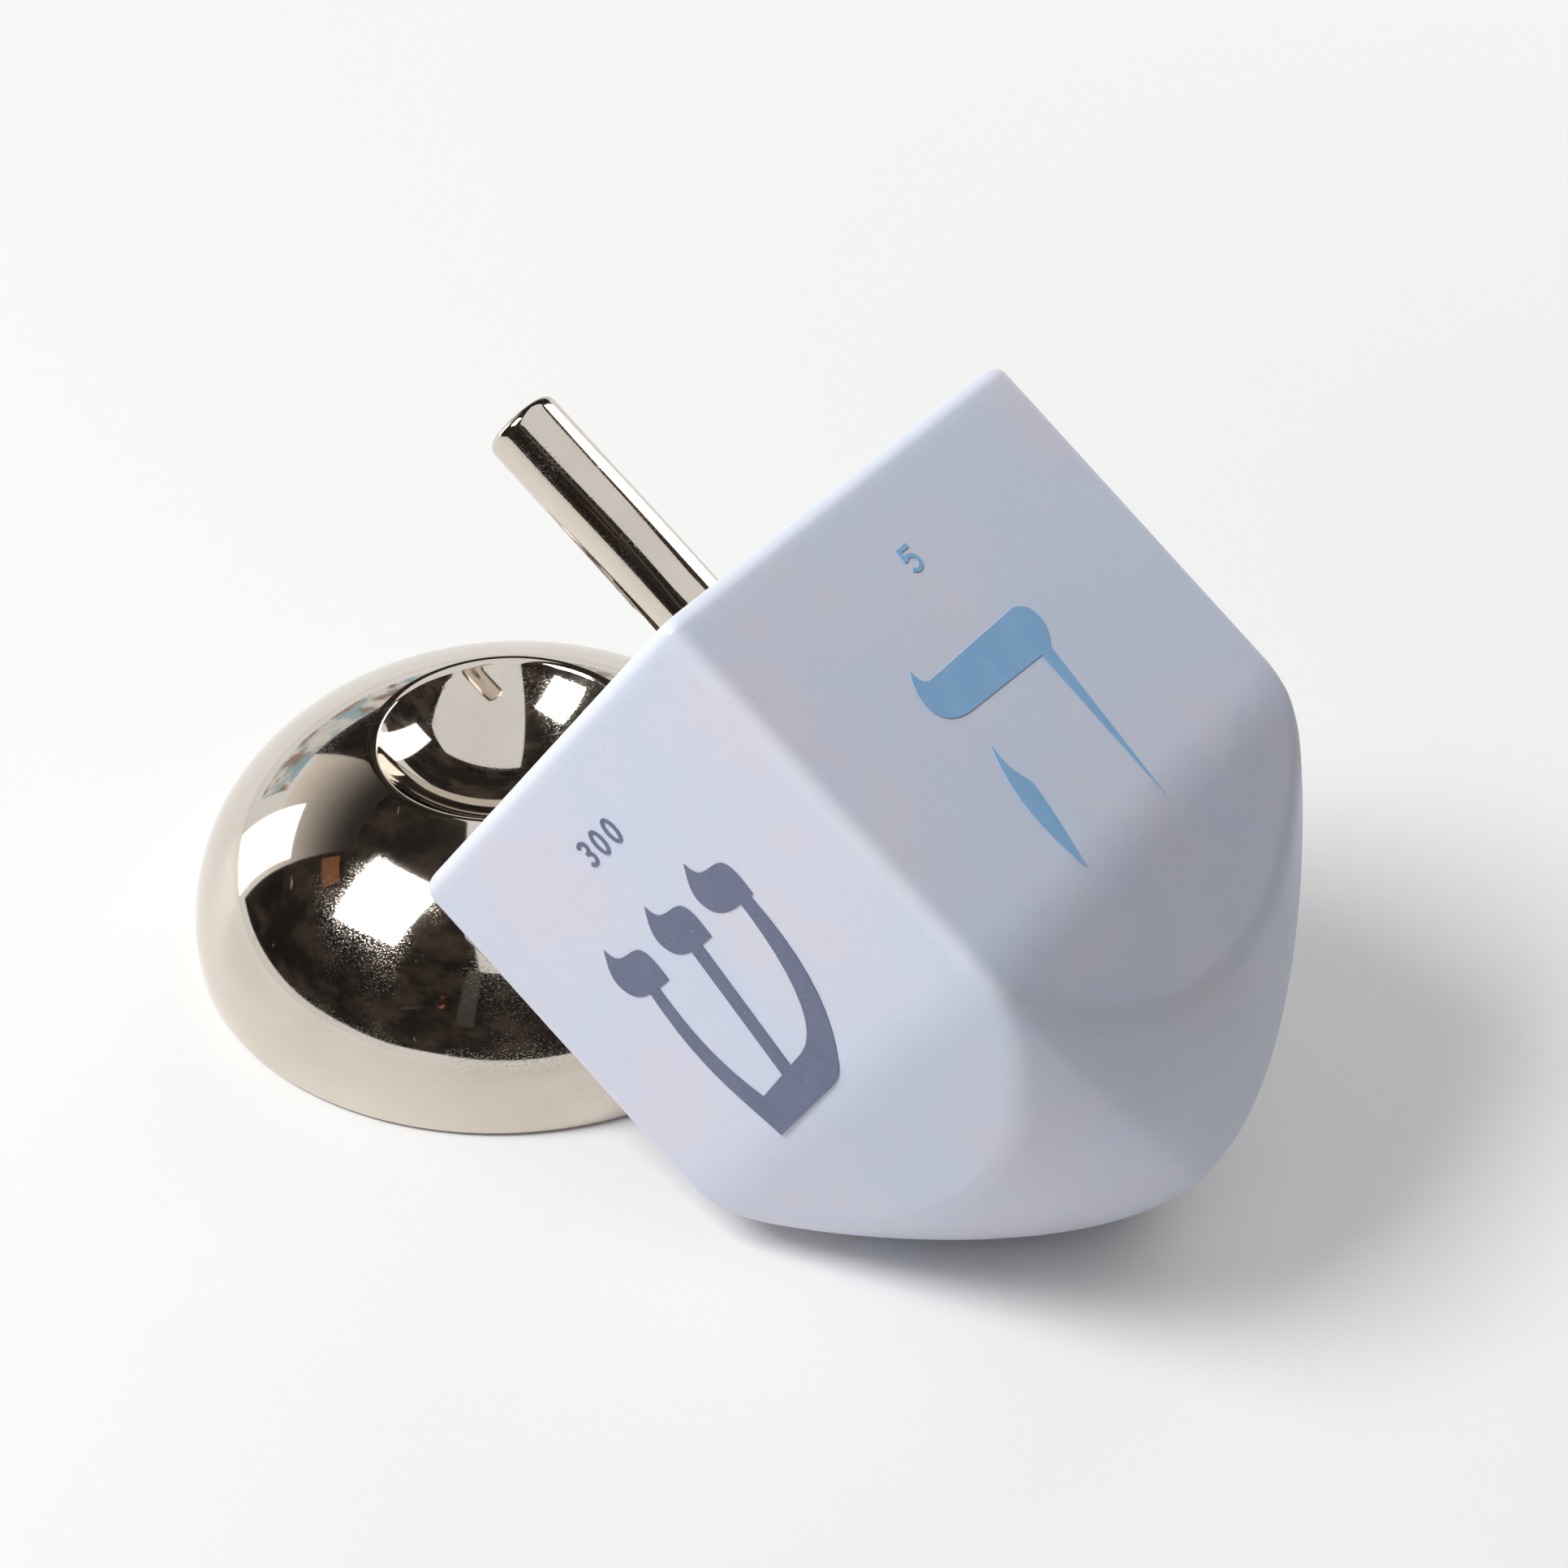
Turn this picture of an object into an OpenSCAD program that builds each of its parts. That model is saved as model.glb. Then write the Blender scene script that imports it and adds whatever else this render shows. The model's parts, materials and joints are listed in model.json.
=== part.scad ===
// A four-sided spinning top of glazed ceramic with a lustred stem, leaning on its round stand.
// Millimetres. +Z is up. The origin is the centre of the stand's foot, on the table.
// The top is built upright on its own axis with its tip at zero, and one transform leans it over.

/* [Top body] */
// Width across the flat sides
body_w = 80; // [64:1:110]
// Height of the flat sides, from the shoulder to the upper face
box_h = 60.5; // [48:0.5:90]
// Height of the nose, from the tip to the shoulder
nose_h = 45; // [38:0.5:60]
// How far below the shoulder the turned nose meets the corners
corner_drop = 1; // [0.5:0.5:8]
// Radius of the blunt tip
tip_r = 25; // [12:0.5:28]
// Angle by which each side folds in below the shoulder
fold_angle = 14.5; // [6:0.5:20]
// Radius of the upright edges
edge_r = 2.3; // [1:0.1:5]
// Radius of the edge round the upper face
top_edge_r = 2.2; // [1:0.1:5]
// Width over which the nose blends into the folded sides
crease_soft = 1.5; // [0.5:0.5:6]
// Wall of the hollow ceramic body
body_wall = 4; // [2.5:0.5:7]

/* [Stem] */
// Diameter of the stem
stem_d = 11.8; // [8:0.1:18]
// Length of the stem above the body
stem_len = 40; // [25:0.5:70]
// Depth of the socket that holds the stem
socket_depth = 14; // [8:0.5:20]
// Thickness of the adhesive round the stem
bond_t = 0.3; // [0.1:0.05:0.6]
// Wall of the boss round the socket, inside the body
boss_wall = 3.5; // [2:0.5:6]
// Rounding of the stem's free end
stem_end_r = 1.6; // [0.5:0.1:3]

/* [Letters and numbers] */
// Thickness of the fired decals
decal_t = 0.12; // [0.05:0.01:0.3]
// Share of a side's height that is bare above its letter
letter_top_share = 0.405; // [0.35:0.005:0.45]
// Bare height of a side below its letter
letter_low_gap = 0.3; // [0:0.1:6]
// Share of a side's height from the upper face to the middle of its number
number_drop_share = 0.23; // [0.15:0.01:0.27]
// Height of the digits
digit_h = 4.2; // [3:0.1:5]
// Width of the digits' strokes
digit_stroke = 0.65; // [0.4:0.05:0.9]

/* [Stand] */
// Largest radius of the stand
stand_r = 51.5; // [44:0.5:70]
// Height of the stand's largest radius above the table
belly_z = 3.6; // [3:0.1:12]
// Height of the full dome above its largest radius
dome_h = 36.6; // [34:0.1:55]
// Radius at which the dome turns over into the lip of the bowl
rim_r = 21.8; // [18:0.1:26]
// Radius of the lip's rounding
lip_r = 1.6; // [1.5:0.1:4]
// Depth of the bowl below the lip
bowl_depth = 9.5; // [8:0.5:15]
// Wall of the hollow stand
stand_wall = 4; // [2.5:0.5:6]
// Rounding of the stand's foot
foot_r = 1.2; // [0.5:0.1:3]
// Diameter of the vent in the foot
vent_d = 3; // [2:0.1:4]
// Distance of the vent from the stand's axis
vent_out = 28; // [20:1:36]

/* [Pose] */
// Angle of the stem from upright
lean = 55; // [50:0.5:60]
// Direction in which the nose points away from the stand
lean_azimuth = -35; // [-180:0.5:180]
// Sideways step of the leaning body from the line through the stand's axis
side_step = 2; // [0:0.5:8]
// Gap between the lowest side and the stand
lean_gap = 0.1; // [0.05:0.05:1]

/* [Hidden] */

$fn = 72;
// Extra length of every cut past the face that it leaves
overrun = 1;
// Rings of the nose, and how strongly they crowd towards the tip
nose_rings = 28;
hollow_rings = 14;
ring_crowding = 1.5;
// Points from the middle of a side to a corner, outside and in the hollow
outer_steps = 8;
hollow_steps = 4;
// Steps of a quarter-round edge and of a curved stroke
edge_steps = 4;
curve_steps = 10;
// How far the fold at the shoulder is trimmed
fold_soft = 1.1;
// How much flatter the nose is under the sides than at the corners, and how strongly its flank bows out
nose_square_share = 0.114;
nose_bow_share = 0.48;
// Softness of the ridge that runs down the nose from each corner, and how much softer it is at the tip
ridge_soft_share = 0.05;
ridge_fade_share = 0.15;
// Keeps a side's reach finite along its own direction
least_cos = 0.01;

body_h = box_h + nose_h;
corner_z = nose_h - corner_drop;
corner_reach = body_w / sqrt(2);
nose_spread = max((pow(corner_reach, 2) - 2 * tip_r * corner_z) / pow(corner_z, 2), 0) + nose_bow_share;
nose_flare = 2 * tip_r + (2 * nose_spread - 3 * nose_bow_share) * corner_z;
fold_slope = tan(fold_angle);
flat_z = nose_h + fold_soft / fold_slope;
edge_trim = 4 * (sqrt(2) - 1) * edge_r;
tip_wall = body_wall * 1.3;
socket_z = body_h - socket_depth;
socket_r = stem_d / 2 + bond_t;

// The letters keep inside the sides' width
letter_fill_share = 0.85;
letter_drop = box_h * letter_top_share;
number_drop = box_h * number_drop_share;
letter_h = min(box_h - letter_drop - letter_low_gap, body_w * letter_fill_share);

glaze_blue = [0.82, 0.86, 0.90];
lustre = [0.62, 0.58, 0.54];
sky = [0.44, 0.61, 0.77];
slate = [0.42, 0.45, 0.55];
resin = [0.80, 0.78, 0.70];

// The lesser of two sizes, with the corner between them trimmed over a width k
function soft_min(a, b, k) =
    let (near = max(k - abs(a - b), 0) / k)
    min(a, b) - near * near * k / 4;

// Half width between the flat sides at a height above the tip
function side_at(z) =
    z > body_h - top_edge_r
        ? body_w / 2 - top_edge_r + sqrt(max(pow(top_edge_r, 2) - pow(z - body_h + top_edge_r, 2), 0))
        : soft_min(body_w / 2, body_w / 2 + fold_slope * (z - nose_h), fold_soft);

// Square of the nose's reach along its ridges. Above the corners it goes on evenly, outside the sides.
function flank(z) =
    let (low = min(z, corner_z))
    2 * tip_r * low + nose_spread * low * low - nose_bow_share / corner_z * pow(low, 3)
    + nose_flare * max(z - corner_z, 0);

// Reach of the nose at a height above the tip: a blunt tip that opens into a bowed flank with four ridges
function nose_at(angle, z) =
    let (
        off_ridge = pow(cos(2 * angle), 2),
        ridge = ridge_soft_share + ridge_fade_share * (1 - min(z / corner_z, 1)),
        flat = off_ridge / sqrt(off_ridge + ridge * ridge)
    )
    sqrt(flank(z)) * (1 - nose_square_share * flat);

// Reach of the whole body from its axis, in one direction and at one height
function reach(angle, z) =
    let (
        along = side_at(z) / max(abs(cos(angle)), least_cos),
        across = side_at(z) / max(abs(sin(angle)), least_cos)
    )
    soft_min(soft_min(along, across, edge_trim), nose_at(angle, z), crease_soft);

function hollow_reach(angle, z) =
    min(reach(angle, z) - body_wall, reach(angle, z - tip_wall));

// Directions round the body, crowded towards its four corners
function ring_angle(i, steps) =
    let (octant = floor(i / steps), u = (i % steps) / steps)
    45 * (octant + (octant % 2 == 0 ? 1 - pow(1 - u, 2) : u * u));

function outer_ring(z) = [
    for (i = [0 : 8 * outer_steps - 1])
        let (a = ring_angle(i, outer_steps), r = reach(a, z))
        [r * cos(a), r * sin(a), z]
];

function hollow_ring(z) = [
    for (i = [0 : 8 * hollow_steps - 1])
        let (a = ring_angle(i, hollow_steps), r = hollow_reach(a, z))
        [r * cos(a), r * sin(a), z]
];

// Heights from one level to another, crowded towards the first
function crowded(low, high, count) = [
    for (i = [1 : count]) low + (high - low) * pow(i / count, ring_crowding)
];

outer_heights = concat(
    crowded(0, flat_z, nose_rings),
    [for (i = [0 : edge_steps]) body_h - top_edge_r * (1 - sin(90 * i / edge_steps))]
);
hollow_heights = concat(
    crowded(tip_wall, flat_z, hollow_rings),
    [body_h - body_wall]
);

// Closed solid through a stack of rings, with a fan to a point on the axis at each end
module loft(rings, low_z, high_z) {
    count = len(rings[0]);
    last = len(rings) - 1;
    points = concat([[0, 0, low_z]], [for (ring = rings) for (p = ring) p], [[0, 0, high_z]]);
    function at(ring, i) = 1 + ring * count + i % count;
    low_fan = [for (i = [0 : count - 1]) [0, at(0, i), at(0, i + 1)]];
    high_fan = [for (i = [0 : count - 1]) [len(points) - 1, at(last, i + 1), at(last, i)]];
    sides = [
        for (ring = [0 : last - 1]) for (i = [0 : count - 1]) for (half = [0, 1])
            half == 0
                ? [at(ring, i), at(ring + 1, i), at(ring + 1, i + 1)]
                : [at(ring, i), at(ring + 1, i + 1), at(ring, i + 1)]
    ];
    polyhedron(points = points, faces = concat(low_fan, sides, high_fan), convexity = 4);
}

// The tip is held up by the nose, which touches the table below the lowest side
tip_rise = max([for (z = outer_heights) reach(180, z) * sin(lean) - z * cos(lean)]);
// The point about which the nose rocks, as high above the table leaning as upright
pivot_h = tip_rise / (1 - cos(lean));
stand_support = belly_z * sin(lean)
    + sqrt(pow(stand_r * cos(lean), 2) + pow(dome_h * sin(lean), 2));
pivot_out = (body_w / 2 + decal_t + lean_gap + stand_support - pivot_h * sin(lean)) / cos(lean);

// Sets the upright top down in its leaning place
module leaning() {
    rotate([0, 0, lean_azimuth])
        translate([pivot_out, -side_step, pivot_h])
            rotate([0, -lean, 0])
                translate([0, 0, -pivot_h])
                    children();
}

module body_shell() {
    color(glaze_blue)
        leaning()
            difference() {
                union() {
                    difference() {
                        loft([for (z = outer_heights) outer_ring(z)], 0, body_h);
                        loft([for (z = hollow_heights) hollow_ring(z)], tip_wall, body_h - body_wall);
                    }
                    translate([0, 0, socket_z])
                        cylinder(h = socket_depth - body_wall / 2, r = socket_r + boss_wall);
                }
                translate([0, 0, socket_z - overrun])
                    cylinder(h = socket_depth + 2 * overrun, r = socket_r);
            }
}

module stem() {
    full_len = socket_depth + stem_len;
    color(lustre)
        leaning()
            translate([0, 0, socket_z])
                rotate_extrude() {
                    square([stem_d / 2, full_len - stem_end_r]);
                    square([stem_d / 2 - stem_end_r, full_len]);
                    translate([stem_d / 2 - stem_end_r, full_len - stem_end_r])
                        intersection() {
                            circle(stem_end_r);
                            square(stem_end_r);
                        }
                }
}

module stem_bond() {
    color(resin)
        leaning()
            translate([0, 0, socket_z])
                rotate_extrude()
                    translate([stem_d / 2, 0])
                        square([bond_t, socket_depth]);
}

// A smooth line from the first of four points to the last, pulled towards the two between
function bend(c) = [
    for (i = [0 : curve_steps])
        let (t = i / curve_steps, s = 1 - t)
        s * s * s * c[0] + 3 * s * s * t * c[1] + 3 * s * t * t * c[2] + t * t * t * c[3]
];

// Part of a circle as a row of points
function arc(centre, radius, from, to) = [
    for (i = [0 : curve_steps])
        let (a = from + (to - from) * i / curve_steps)
        centre + radius * [cos(a), sin(a)]
];

// A pen stroke along a path, whose half width runs evenly from one end's to the other's
module stroke(path, half_from, half_to) {
    last = len(path) - 1;
    function half(i) = half_from + (half_to - half_from) * i / last;
    function side(i) =
        let (d = path[min(i + 1, last)] - path[max(i - 1, 0)])
        [-d.y, d.x] / norm(d);
    polygon(concat(
        [for (i = [0 : last]) path[i] + half(i) * side(i)],
        [for (i = [last : -1 : 0]) path[i] - half(i) * side(i)]
    ));
}

// The letters are drawn in shares of their height: across from the middle, and down from the top line.
// Each row of four points is one bend of an outline.

// The broad head of a stem, with a pen's spur at its upper left
module flag(h) {
    spur_shares = [[-0.058, 0], [-0.05, -0.065], [-0.02, -0.07], [0.05, -0.075]];
    crown_shares = [[0.05, -0.075], [0.14, -0.08], [0.15, -0.12], [0.128, -0.255]];
    chin_shares = [[0.128, -0.255], [-0.06, -0.255], [-0.13, -0.235], [-0.14, -0.14]];
    cheek_shares = [[-0.14, -0.14], [-0.14, -0.08], [-0.09, -0.04], [-0.058, 0]];
    polygon(h * concat(bend(spur_shares), bend(crown_shares), bend(chin_shares), bend(cheek_shares)));
}

module he_outline(h) {
    spur_shares = [[-0.392, -0.016], [-0.392, -0.07], [-0.375, -0.09], [-0.34, -0.091]];
    bar_end_shares = [[0.2, -0.091], [0.31, -0.091], [0.34, -0.21], [0.234, -0.296]];
    leg_shares = [[0.159, -1], [0.168, -0.298]];
    heel_shares = [[-0.3, -0.275], [-0.45, -0.265], [-0.5, -0.15], [-0.392, -0.016]];
    leaf_neck_shares = [[-0.339, -0.414], [-0.36, -0.52], [-0.33, -0.56], [-0.311, -0.62]];
    leaf_inner_shares = [[-0.311, -0.62], [-0.33, -0.74], [-0.36, -0.87], [-0.397, -0.973]];
    leaf_outer_shares = [[-0.397, -0.973], [-0.43, -0.8], [-0.44, -0.6], [-0.339, -0.414]];
    polygon(h * concat(bend(spur_shares), bend(bar_end_shares), leg_shares, bend(heel_shares)));
    polygon(h * concat(bend(leaf_neck_shares), bend(leaf_inner_shares), bend(leaf_outer_shares)));
}

module shin_outline(h) {
    flag_shares = [[-0.384, -0.01], [-0.003, 0.004], [0.352, 0.018]];
    right_arm_shares = [[0.46, -0.12], [0.475, -0.5], [0.38, -0.74], [0.181, -0.918]];
    base_turn_shares = [[0.181, -0.918], [0.135, -0.957], [0.1, -0.967], [0.05, -0.972]];
    base_point_share = [-0.388, -1];
    left_outer_shares = [[-0.388, -1], [-0.43, -0.75], [-0.49, -0.6], [-0.402, -0.24]];
    left_inner_shares = [[-0.335, -0.24], [-0.37, -0.45], [-0.39, -0.6], [-0.308, -0.839]];
    right_inner_shares = [[0.06, -0.8], [0.25, -0.77], [0.36, -0.5], [0.392, -0.2]];
    middle_arm_shares = [[0.016, -0.2], [-0.088, -0.83]];
    middle_half_share = 0.038;
    for (place = flag_shares)
        translate(h * place)
            flag(h);
    polygon(h * concat(
        bend(right_arm_shares), bend(base_turn_shares), [base_point_share],
        bend(left_outer_shares), bend(left_inner_shares), bend(right_inner_shares)
    ));
    stroke(h * middle_arm_shares, h * middle_half_share, h * middle_half_share);
}

module nun_outline(h) {
    stem_shares = [[0.02, -0.2], [0.09, -0.45], [0.12, -0.65], [0.11, -0.9]];
    stem_half_share = 0.036;
    base_turn_shares = [[0.146, -0.75], [0.17, -0.93], [0.14, -1], [0, -1]];
    base_heel_shares = [[-0.16, -1], [-0.3, -0.99], [-0.33, -0.87], [-0.25, -0.73]];
    base_spur_shares = [[-0.25, -0.73], [-0.25, -0.79], [-0.23, -0.81], [-0.19, -0.81]];
    base_inner_share = [0.08, -0.81];
    flag(h);
    stroke(h * bend(stem_shares), h * stem_half_share, h * stem_half_share);
    polygon(h * concat(
        bend(base_turn_shares), bend(base_heel_shares), bend(base_spur_shares), [base_inner_share]
    ));
}

module gimel_outline(h) {
    stem_shares = [[0.02, -0.2], [0.1, -0.45], [0.1, -0.75], [0.15, -1]];
    stem_half_share = 0.036;
    foot_outer_shares = [[0.115, -0.66], [-0.05, -0.69], [-0.2, -0.77], [-0.28, -1]];
    foot_inner_shares = [[-0.13, -0.97], [-0.1, -0.86], [-0.02, -0.8], [0.115, -0.75]];
    flag(h);
    stroke(h * bend(stem_shares), h * stem_half_share, h * stem_half_share * 0.6);
    polygon(h * concat(bend(foot_outer_shares), bend(foot_inner_shares)));
}

// Digits stand round their own middle point, in strokes of one width

module digit_zero(h) {
    wide_share = 0.3;
    difference() {
        scale([wide_share * 2, 1])
            circle(h / 2);
        scale([(wide_share * h - digit_stroke) / (h / 2 - digit_stroke), 1])
            circle(h / 2 - digit_stroke);
    }
}

module digit_three(h) {
    half = digit_stroke / 2;
    bow = (h - digit_stroke) / 4;
    stroke(arc([0, bow], bow, 155, -90), half, half);
    stroke(arc([0, -bow], bow, 90, -155), half, half);
    stroke([[-bow / 3, 0], [half, 0]], half, half);
}

module digit_five(h) {
    half = digit_stroke / 2;
    bow_share = 0.28;
    bow = h * bow_share;
    bar_y = h / 2 - half;
    left = -bow * 0.75;
    stroke([[bow, bar_y], [left - half, bar_y]], half, half);
    stroke([[left, h / 2], [left - half / 2, 0]], half, half);
    stroke(arc([-half / 2, bow + half - h / 2], bow, 130, -145), half, half);
}

module digits(list) {
    pitch_share = 0.88;
    pitch = digit_h * pitch_share;
    for (i = [0 : len(list) - 1])
        translate([(i - (len(list) - 1) / 2) * pitch, 0])
            if (list[i] == 0)
                digit_zero(digit_h);
            else if (list[i] == 3)
                digit_three(digit_h);
            else
                digit_five(digit_h);
}

// Lays a flat outline on one side, below the upper face. The side is named by its turn about the axis.
module on_side(turn, drop) {
    leaning()
        rotate([0, 0, turn])
            translate([body_w / 2, 0, body_h - drop])
                rotate([90, 0, 90])
                    linear_extrude(decal_t)
                        children();
}

he_turn = 0;
gimel_turn = 90;
nun_turn = 180;
shin_turn = 270;

module letter_nun() {
    color(sky)
        on_side(nun_turn, letter_drop)
            nun_outline(letter_h);
}

module letter_gimel() {
    color(slate)
        on_side(gimel_turn, letter_drop)
            gimel_outline(letter_h);
}

module letter_he() {
    color(sky)
        on_side(he_turn, letter_drop)
            he_outline(letter_h);
}

module letter_shin() {
    color(slate)
        on_side(shin_turn, letter_drop)
            shin_outline(letter_h);
}

module number_50() {
    color(sky)
        on_side(nun_turn, number_drop)
            digits([5, 0]);
}

module number_3() {
    color(slate)
        on_side(gimel_turn, number_drop)
            digits([3]);
}

module number_5() {
    color(sky)
        on_side(he_turn, number_drop)
            digits([5]);
}

module number_300() {
    color(slate)
        on_side(shin_turn, number_drop)
            digits([3, 0, 0]);
}

// The dome is half of a squashed ball, cut flat at the foot and turned over into the bowl's lip
dome_steps = 26;
bowl_steps = 12;
foot_angle = asin((foot_r - belly_z) / dome_h);
rim_angle = acos(rim_r / stand_r);
rim_lean = atan2(sin(rim_angle) / dome_h, cos(rim_angle) / stand_r);
function dome_point(angle, inset) =
    [(stand_r - inset) * cos(angle), belly_z + (dome_h - inset) * sin(angle)];
lip_centre = dome_point(rim_angle, 0) - lip_r * [cos(rim_lean), sin(rim_lean)];
lip_top = lip_centre.y + lip_r;
bowl_low = lip_top - bowl_depth;
lip_over_low = lip_centre.y - bowl_low;
bowl_r = (pow(lip_centre.x, 2) + pow(lip_over_low, 2) - pow(lip_r, 2)) / (2 * bowl_depth);
bowl_centre = [0, bowl_low + bowl_r];
bowl_side = bowl_centre - lip_centre;
lip_end = atan2(bowl_side.y, bowl_side.x);
bowl_end = lip_end - 180;

module stand_outline() {
    foot_out = dome_point(foot_angle, 0).x;
    polygon(concat(
        [[0, 0]],
        [for (i = [0 : edge_steps])
            let (a = -90 + 90 * i / edge_steps)
            [foot_out - foot_r + foot_r * cos(a), foot_r + foot_r * sin(a)]],
        [for (i = [1 : dome_steps]) dome_point(foot_angle + (rim_angle - foot_angle) * i / dome_steps, 0)],
        [for (i = [1 : bowl_steps])
            lip_centre + lip_r * (
                let (a = rim_lean + (lip_end - rim_lean) * i / bowl_steps)
                [cos(a), sin(a)])],
        [for (i = [1 : bowl_steps])
            bowl_centre + bowl_r * (
                let (a = bowl_end + (-90 - bowl_end) * i / bowl_steps)
                [cos(a), sin(a)])]
    ));
}

module stand_hollow() {
    difference() {
        polygon(concat(
            [[0, stand_wall]],
            [for (i = [0 : dome_steps])
                let (low = asin((stand_wall - belly_z) / (dome_h - stand_wall)))
                dome_point(low + (90 - low) * i / dome_steps, stand_wall)]
        ));
        translate(bowl_centre)
            circle(bowl_r + stand_wall);
        translate([0, bowl_centre.y - bowl_r])
            square([lip_centre.x + lip_r, dome_h]);
    }
}

module stand_shell() {
    color(lustre)
        difference() {
            rotate_extrude()
                stand_outline();
            rotate_extrude()
                stand_hollow();
            translate([vent_out, 0, -overrun])
                cylinder(h = stand_wall + 2 * overrun, d = vent_d);
        }
}

body_shell();
stem();
stem_bond();
letter_nun();
letter_gimel();
letter_he();
letter_shin();
number_50();
number_3();
number_5();
number_300();
stand_shell();
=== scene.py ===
import json
import math
import bpy
import bmesh
from mathutils import Matrix, Quaternion, Vector, noise


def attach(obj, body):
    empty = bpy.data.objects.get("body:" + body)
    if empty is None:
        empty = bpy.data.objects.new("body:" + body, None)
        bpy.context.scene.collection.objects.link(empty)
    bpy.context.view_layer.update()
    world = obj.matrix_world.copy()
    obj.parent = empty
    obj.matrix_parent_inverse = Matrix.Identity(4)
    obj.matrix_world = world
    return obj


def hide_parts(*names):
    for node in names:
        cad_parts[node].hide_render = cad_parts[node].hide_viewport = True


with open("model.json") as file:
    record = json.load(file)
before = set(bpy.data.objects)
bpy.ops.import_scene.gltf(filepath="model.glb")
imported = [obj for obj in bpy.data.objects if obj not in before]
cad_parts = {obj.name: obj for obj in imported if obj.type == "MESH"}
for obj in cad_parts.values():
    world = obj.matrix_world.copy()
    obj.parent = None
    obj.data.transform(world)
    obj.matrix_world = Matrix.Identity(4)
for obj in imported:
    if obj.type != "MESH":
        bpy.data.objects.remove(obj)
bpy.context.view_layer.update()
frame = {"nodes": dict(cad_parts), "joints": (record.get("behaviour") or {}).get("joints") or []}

# A millimetre, in the scene's metres
MM = 0.001

# Sizes in millimetres, the same named values as in the part's source
BODY_W = 80.0
BOX_H = 60.5
NOSE_H = 45.0
CORNER_DROP = 1.0
TIP_R = 25.0
FOLD_ANGLE = 14.5
EDGE_R = 2.3
TOP_EDGE_R = 2.2
CREASE_SOFT = 1.5
FOLD_SOFT = 1.1
NOSE_SQUARE_SHARE = 0.114
NOSE_BOW_SHARE = 0.48
RIDGE_SOFT_SHARE = 0.05
RIDGE_FADE_SHARE = 0.15
LEAST_COS = 0.01
STEM_D = 11.8
STEM_LEN = 40.0
SOCKET_DEPTH = 14.0
BOND_T = 0.3
STEM_END_R = 1.6
STAND_R = 51.5
BELLY_Z = 3.6
DOME_H = 36.6
RIM_R = 21.8
LIP_R = 1.6
BOWL_DEPTH = 9.5
STAND_WALL = 4.0
FOOT_R = 1.2
VENT_D = 3.0
VENT_OUT = 28.0
LEAN = 55.0

BODY_H = BOX_H + NOSE_H
FLAT_Z = NOSE_H + FOLD_SOFT / math.tan(math.radians(FOLD_ANGLE))
CORNER_Z = NOSE_H - CORNER_DROP
NOSE_SPREAD = max((BODY_W ** 2 / 2 - 2 * TIP_R * CORNER_Z) / CORNER_Z ** 2, 0) + NOSE_BOW_SHARE
NOSE_FLARE = 2 * TIP_R + (2 * NOSE_SPREAD - 3 * NOSE_BOW_SHARE) * CORNER_Z
FOLD_SLOPE = math.tan(math.radians(FOLD_ANGLE))
EDGE_TRIM = 4 * (math.sqrt(2) - 1) * EDGE_R
SOCKET_R = STEM_D / 2 + BOND_T
SOCKET_Z = BODY_H - SOCKET_DEPTH

# Sizes in millimetres of what only the scene has: the bead of adhesive, and the marks of hand work
BEAD_R = 0.75
BEAD_LIFT = 0.02
STEM_DISH = 0.12
STEM_WAVE = 0.22
STEM_WAVE_RISE = 6.0
DOME_WAVE = 0.5
DOME_RIPPLE = 0.06
DOME_WAVE_RISE = 12.0

# Widths in millimetres of the bands along the body's edges where a highlight is painted into the glaze as
# a paler tone
UPRIGHT_BAND = 5.0
RIM_BAND = 2.5
RIM_BAND_DROP = 1.0
CREASE_BAND = 4.0
CREASE_HIGHLIGHT_SHARE = 0.6


# The body's shape

def soft_min(a, b, k):
    near = max(k - abs(a - b), 0) / k
    return min(a, b) - near * near * k / 4


def side_at(z):
    """Half width between the flat sides at a height above the tip."""
    if z > BODY_H - TOP_EDGE_R:
        over = z - BODY_H + TOP_EDGE_R
        return BODY_W / 2 - TOP_EDGE_R + math.sqrt(max(TOP_EDGE_R ** 2 - over ** 2, 0))
    return soft_min(BODY_W / 2, BODY_W / 2 + FOLD_SLOPE * (z - NOSE_H), FOLD_SOFT)


def nose_at(angle, z):
    """Reach of the turned nose, which is bowed and a little square."""
    low = min(z, CORNER_Z)
    flank = 2 * TIP_R * low + NOSE_SPREAD * low ** 2 - NOSE_BOW_SHARE / CORNER_Z * low ** 3
    off_ridge = math.cos(2 * angle) ** 2
    ridge = RIDGE_SOFT_SHARE + RIDGE_FADE_SHARE * (1 - min(z / CORNER_Z, 1))
    squareness = NOSE_SQUARE_SHARE * off_ridge / math.sqrt(off_ridge + ridge * ridge)
    return math.sqrt(flank + NOSE_FLARE * (z - low)) * (1 - squareness)


def reaches(angle, z):
    """The reach of the two nearest sides and of the turned nose, in one direction."""
    along = side_at(z) / max(abs(math.cos(angle)), LEAST_COS)
    across = side_at(z) / max(abs(math.sin(angle)), LEAST_COS)
    return along, across, nose_at(angle, z)


def reach(angle, z):
    along, across, nose = reaches(angle, z)
    return soft_min(soft_min(along, across, EDGE_TRIM), nose, CREASE_SOFT)


def edge_highlight_share(angle, z):
    """Share of the highlight painted along the body's edges: 1 on an edge of the body, and 0 away from it.
    """
    along, across, nose = reaches(angle, z)
    sides = min(along, across)
    upright = 1 - abs(along - across) / UPRIGHT_BAND
    rim = 1 - abs(z - BODY_H + RIM_BAND_DROP) / RIM_BAND
    # Painted highlight: paler glaze along the upright edges, the upper rim and the crease round the nose
    crease = CREASE_HIGHLIGHT_SHARE - abs(sides - nose) / CREASE_BAND
    return max(upright if sides < nose else 0, rim, crease, 0)


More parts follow.
